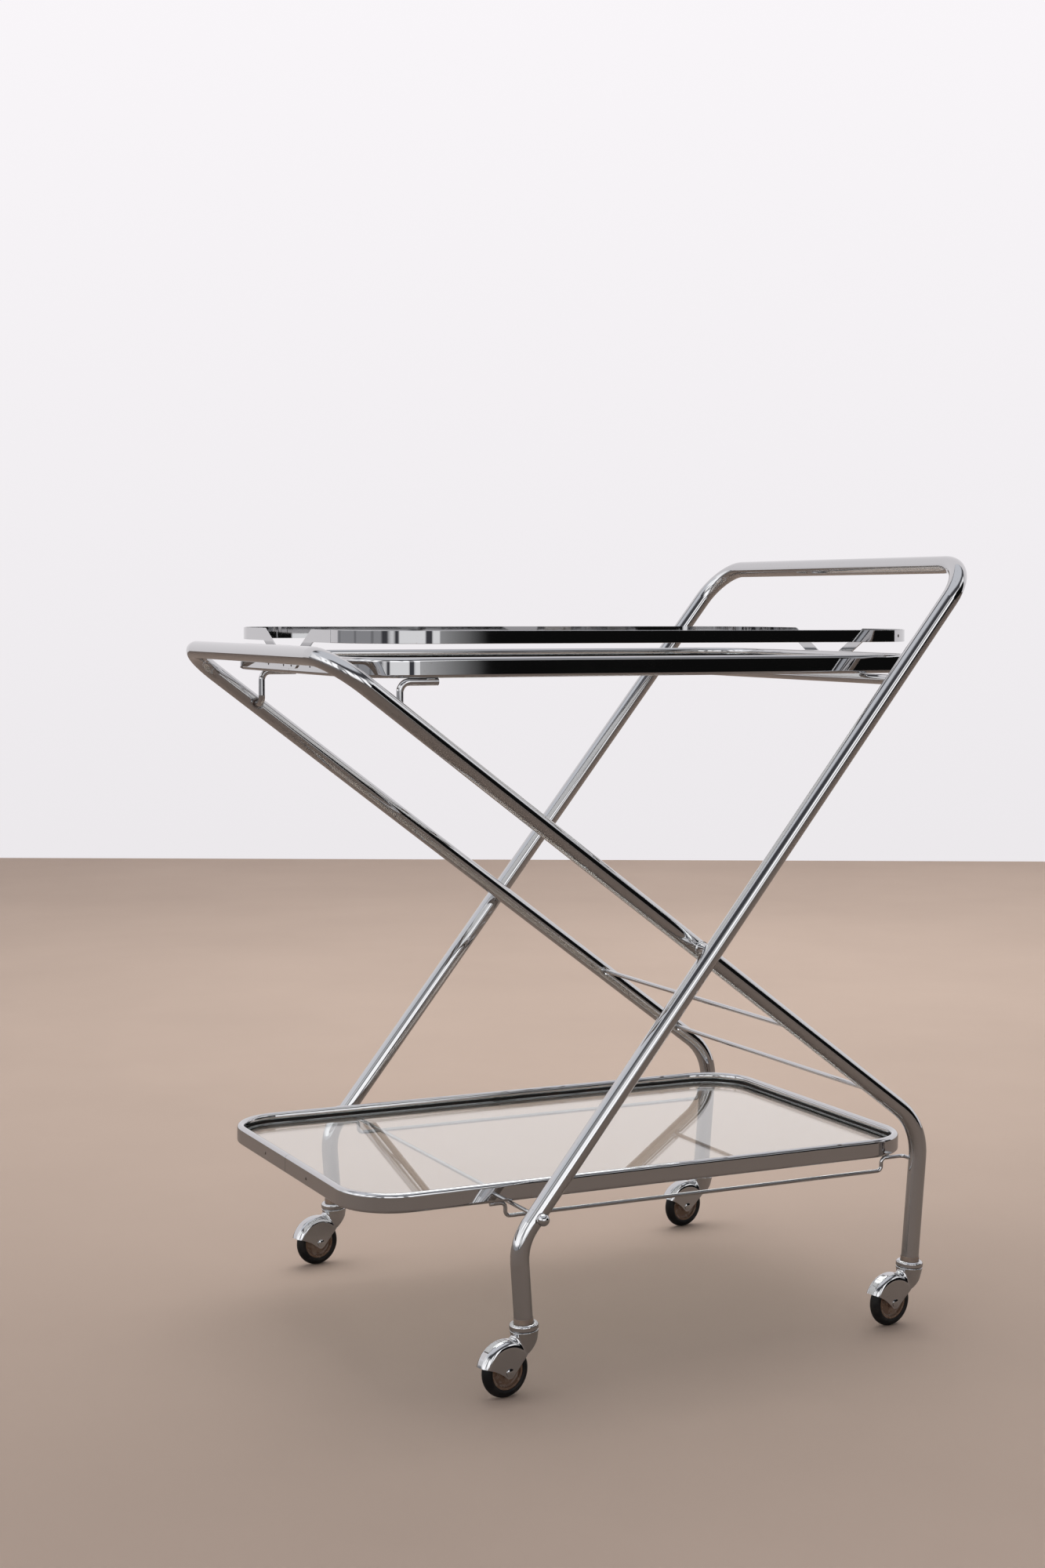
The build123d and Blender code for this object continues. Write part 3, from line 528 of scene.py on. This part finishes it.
class CART_OT_strips(bpy.types.Operator):
    """Glazing strips between the glass and the rolled beads"""

    bl_idname = "cart.strips"
    bl_label = "Shade and rust strips"

    def strip(self, size, low, high):
        """Upright band with round corners, inside the box of a rim."""
        foot, top = low.z + size.glass_top + STRIP_ROOM, low.z + size.bead_low - STRIP_ROOM
        x0, x1 = low.x + size.strip_in, high.x - size.strip_in
        y0, y1 = low.y + size.strip_in, high.y - size.strip_in
        bm = bmesh.new()
        corners = wire(bm, [(x0, y0, foot), (x1, y0, foot), (x1, y1, foot), (x0, y1, foot)], True)
        bmesh.ops.bevel(
            bm, geom=corners, offset=size.strip_r, offset_type="OFFSET", segments=16, profile=0.5,
            affect="VERTICES", material=-1,
        )
        raised = bmesh.ops.extrude_edge_only(bm, edges=bm.edges[:])["geom"]
        upper = [part for part in raised if isinstance(part, bmesh.types.BMVert)]
        bmesh.ops.translate(bm, vec=(0, 0, top - foot), verts=upper)
        bmesh.ops.recalc_face_normals(bm, faces=bm.faces)
        middle = (low + high) / 2
        outward = sum((face.calc_center_median() - middle).dot(face.normal) for face in bm.faces)
        bmesh.ops.solidify(bm, geom=bm.faces[:], thickness=math.copysign(size.strip_w, outward))
        return bm

    def execute(self, context):
        # dark strips that paint the shade under the beads, with rust spots
        made = material("shade_and_rust_strips", shade_and_rust)
        for shelf in ("lower", "upper"):
            bm = self.strip(context.scene.cart_sizes, *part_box(f"{shelf}_rim"))
            finished(f"{shelf}_glazing_strip", bm, made, f"{shelf}_shelf", "tyre")
        return {"FINISHED"}


class CART_OT_gallery(bpy.types.Operator):
    """Gallery rail round the upper shelf, with rounded edges"""

    bl_idname = "cart.gallery"
    bl_label = "Gallery rail"

    def execute(self, context):
        made = material("chrome_gallery", chrome)
        for node in ("gallery_near", "gallery_far"):
            bm = bmesh.new()
            bm.from_mesh(bpy.data.objects[node].data)
            bmesh.ops.remove_doubles(bm, verts=bm.verts, dist=MERGE_DIST)
            bmesh.ops.dissolve_limit(bm, angle_limit=FLAT_ANGLE, verts=bm.verts, edges=bm.edges)
            edges = [e for e in bm.edges if e.is_manifold and e.calc_face_angle() > EDGE_ANGLE]
            bmesh.ops.bevel(
                bm, geom=edges, offset=context.scene.cart_sizes.band_edge, offset_type="OFFSET",
                segments=2, profile=0.5, affect="EDGES", material=-1, clamp_overlap=True,
            )
            band = finished(f"rounded_{node}", bm, made, "upper_shelf", "chrome", node)
            flat = band.modifiers.new("flat_faces", "WEIGHTED_NORMAL")
            flat.weight, flat.keep_sharp = 100, True
        dress(material("steel_gallery", steel), "gallery_tabs")
        dress(material("rivets_gallery", aged_rivet), "gallery_rivets")
        return {"FINISHED"}


class CART_OT_casters(bpy.types.Operator):
    """Swivel casters with their tyres"""

    bl_idname = "cart.casters"
    bl_label = "Casters"

    def execute(self, context):
        dress(material("chrome_casters", chrome), *corner_nodes("fork", "collar", "axle"))
        dress(material("steel_casters", steel), *corner_nodes("stem"))
        dress(material("sleeve_plastic_and_shade", sleeve_plastic_and_shade), *corner_nodes("sleeve"))
        dress(material("tyre_rubber", rubber), *corner_nodes("tyre"))
        return {"FINISHED"}


class CART_OT_hubs(bpy.types.Operator):
    """Moulded hubs, dished between the boss and the rim"""

    bl_idname = "cart.hubs"
    bl_label = "Hubs"

    def execute(self, context):
        size = context.scene.cart_sizes
        made = material("hub_plastic", hub_plastic)
        rim_r, edge, boss_foot = size.hub_r - size.hub_rim_t, size.hub_edge, 3 * size.hub_edge
        side = [
            (size.hub_bore, size.hub_boss_w, edge),
            (size.hub_boss_r, size.hub_boss_w, edge),
            (size.hub_boss_r, size.hub_web_w, boss_foot),
            (rim_r, size.hub_web_w, size.hub_dish),
            (rim_r, size.hub_rim_w, edge),
            (size.hub_r, size.hub_rim_w, edge),
        ]
        profile = side + [(r, -w, rounding) for r, w, rounding in reversed(side)]
        axles = {joint["name"]: joint for joint in frame["joints"]}
        for corner in CORNERS:
            axle = axles[f"wheel_{corner}"]
            bm = bmesh.new()
            turned(bm, profile, steps=72, closed=True)
            turn = Vector((0, 1, 0)).rotation_difference(Vector(axle["axis"])).to_matrix().to_4x4()
            bmesh.ops.transform(bm, matrix=Matrix.Translation(axle["pos_m"]) @ turn, verts=bm.verts)
            finished(f"moulded_hub_{corner}", bm, made, axle["child"], "hub", f"hub_{corner}")
        return {"FINISHED"}


class CART_OT_welds(bpy.types.Operator):
    """Weld beads that hold the rails and the pegs under the rims"""

    bl_idname = "cart.welds"
    bl_label = "Welds"

    ripples = (0.0, 0.72, 1.0, 0.84, 1.0, 0.84, 1.0, 0.84, 1.0, 0.72, 0.0)
    beside = 0.8        # from the middle of a wire to a bead, in radii of the wire
    below = 0.3         # from the top of a wire down to a bead, in radii of the wire
    rail_start = 0.75   # from the start of a rail to its first beads, in lengths of a bead
    rail_end = 2.2      # from the end of a rail to its last bead
    peg_end = 0.8       # from the end of a peg to its beads

    def bead(self, bm, size, place):
        """Rippled bead along X."""
        step = size.weld_l / (len(self.ripples) - 1)
        corners = [
            (size.weld_r * ripple, n * step - size.weld_l / 2, step / 3 if 0 < ripple else 0.0)
            for n, ripple in enumerate(self.ripples)
        ]
        one = bmesh.new()
        turned(one, corners, steps=16, closed=False)
        along = Matrix.Rotation(math.radians(-90), 4, "Z")
        bmesh.ops.transform(one, matrix=Matrix.Translation(place) @ along, verts=one.verts)
        mesh = bpy.data.meshes.new("bead")
        one.to_mesh(mesh)
        one.free()
        bm.from_mesh(mesh)
        bpy.data.meshes.remove(mesh)

    def reach(self, node, radius):
        """Start and end of a bent wire, its inner run's way from the middle and its beads' height."""
        low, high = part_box(node)
        inner = min(abs(low.y), abs(high.y)) + radius
        return low.x, high.x, inner, high.z - self.below * radius

    def execute(self, context):
        size = context.scene.cart_sizes
        made = material("chrome_welds", chrome)
        lower, upper = bmesh.new(), bmesh.new()
        for side, name in SIDES:
            start, end, inner, z = self.reach(f"slide_rail_{name}", size.rail_r)
            x = start + self.rail_start * size.weld_l
            for flank in (-self.beside, self.beside):
                self.bead(lower, size, (x, side * inner + flank * size.rail_r, z))
            x = end - self.rail_end * size.weld_l
            self.bead(lower, size, (x, side * (inner - self.beside * size.rail_r), z))
            _, end, inner, z = self.reach(f"shelf_peg_{name}", size.peg_r)
            x = end - self.peg_end * size.weld_l
            for flank in (-self.beside, self.beside):
                self.bead(upper, size, (x, side * inner + flank * size.peg_r, z))
        finished("lower_welds", lower, made, "lower_shelf", "chrome")
        finished("upper_welds", upper, made, "upper_shelf", "chrome")
        return {"FINISHED"}


class CART_OT_stage(bpy.types.Operator):
    """Floor, wall, lamp, room and camera"""

    bl_idname = "cart.stage"
    bl_label = "Stage"

    floor_span = 24.0
    wall_h = 8.0
    lamp_size = (4.4, 2.6)
    lamp_watts = 62.0
    lamp_place = Vector((1.3, 1.5, 3.0))
    lamp_aim = Vector((1.3, 1.4, 0.0))
    lamp_spread = math.radians(140.0)
    eye = Vector((-1.0995, -2.1896, 0.7364))
    heading = math.radians(25.74)
    pitch = math.radians(4.338)
    roll = math.radians(0.2)

    def card(self, name, width, depth, place, paint):
        """Flat stage card."""
        bm = bmesh.new()
        bmesh.ops.create_grid(bm, x_segments=1, y_segments=1, size=0.5)
        bmesh.ops.transform(bm, matrix=place @ Matrix.Diagonal((width, depth, 1.0, 1.0)), verts=bm.verts)
        mesh = bpy.data.meshes.new(name)
        bm.to_mesh(mesh)
        bm.free()
        mesh.materials.append(paint)
        obj = bpy.data.objects.new(name, mesh)
        bpy.context.scene.collection.objects.link(obj)

    def lamp(self, scene):
        """Large soft lamp, which metal doesn't mirror."""
        light = bpy.data.lights.new("lamp_top", "AREA")
        light.spread = self.lamp_spread
        light.shape = "RECTANGLE"
        light.size, light.size_y = self.lamp_size
        light.energy = self.lamp_watts
        obj = bpy.data.objects.new("lamp_top", light)
        obj.location = self.lamp_place
        obj.visible_glossy = False
        obj.rotation_euler = (self.lamp_aim - self.lamp_place).to_track_quat("-Z", "Y").to_euler()
        scene.collection.objects.link(obj)

    def room(self, scene, stage, ahead):
        """World that lights the cart."""
        world = bpy.data.worlds.new("room")
        scene.world = world
        world.use_nodes = True
        finish = Finish(world.node_tree)
        light = room_light(finish, stage, ahead)
        finish.add("ShaderNodeOutputWorld", None, {"Surface": light})

    def camera(self, scene, stage, turn):
        """Camera at the photograph's viewing angle."""
        camera = bpy.data.cameras.new("camera")
        camera.lens = stage.lens
        camera.sensor_width = 36.0
        camera.clip_start, camera.clip_end = 0.05, 60.0
        obj = bpy.data.objects.new("camera", camera)
        aim = turn @ Matrix.Rotation(math.radians(90) - self.pitch, 4, "X")
        obj.matrix_world = Matrix.Translation(self.eye) @ aim @ Matrix.Rotation(self.roll, 4, "Z")
        scene.collection.objects.link(obj)
        scene.camera = obj

    def execute(self, context):
        scene = context.scene
        stage = scene.cart_stage
        ahead = Vector((math.sin(self.heading), math.cos(self.heading), 0.0))
        turn = Matrix.Rotation(-self.heading, 4, "Z")
        floor = material("floor_paint", floor_paint, stage)
        wall = material("wall_paint", wall_paint, stage)
        middle = Matrix.Translation(ahead * stage.wall_way + Vector((0, 0, self.wall_h / 2)))
        upright = middle @ turn @ Matrix.Rotation(math.radians(90), 4, "X")
        self.card("floor", self.floor_span, self.floor_span, Matrix.Identity(4), floor)
        self.card("wall", self.floor_span, self.wall_h, upright, wall)
        self.lamp(scene)
        self.room(scene, stage, ahead)
        self.camera(scene, stage, turn)
        scene.view_settings.view_transform = "Standard"
        return {"FINISHED"}


STEPS = (
    CART_OT_frames, CART_OT_shelves, CART_OT_strips, CART_OT_gallery, CART_OT_casters, CART_OT_hubs,
    CART_OT_welds, CART_OT_stage,
)


class CART_PT_panel(bpy.types.Panel):
    """Steps that dress the cart"""

    bl_idname = "CART_PT_panel"
    bl_label = "Bar Cart"
    bl_space_type = "VIEW_3D"
    bl_region_type = "UI"
    bl_category = "Bar Cart"

    def draw(self, context):
        scene = context.scene
        for settings in (scene.cart_finishes, scene.cart_sizes, scene.cart_stage):
            for name in settings.__annotations__:
                self.layout.prop(settings, name)
        for step in STEPS:
            self.layout.operator(step.bl_idname)


CLASSES = (CartFinishes, CartSizes, CartStage, *STEPS, CART_PT_panel)


def register():
    for cls in CLASSES:
        bpy.utils.register_class(cls)
    bpy.types.Scene.cart_finishes = PointerProperty(type=CartFinishes)
    bpy.types.Scene.cart_sizes = PointerProperty(type=CartSizes)
    bpy.types.Scene.cart_stage = PointerProperty(type=CartStage)


def unregister():
    del bpy.types.Scene.cart_stage
    del bpy.types.Scene.cart_sizes
    del bpy.types.Scene.cart_finishes
    for cls in reversed(CLASSES):
        bpy.utils.unregister_class(cls)


def main():
    register()
    bpy.ops.cart.frames()
    bpy.ops.cart.shelves()
    bpy.ops.cart.strips()
    bpy.ops.cart.gallery()
    bpy.ops.cart.casters()
    bpy.ops.cart.hubs()
    bpy.ops.cart.welds()
    bpy.ops.cart.stage()


if __name__ == "__main__":
    main()
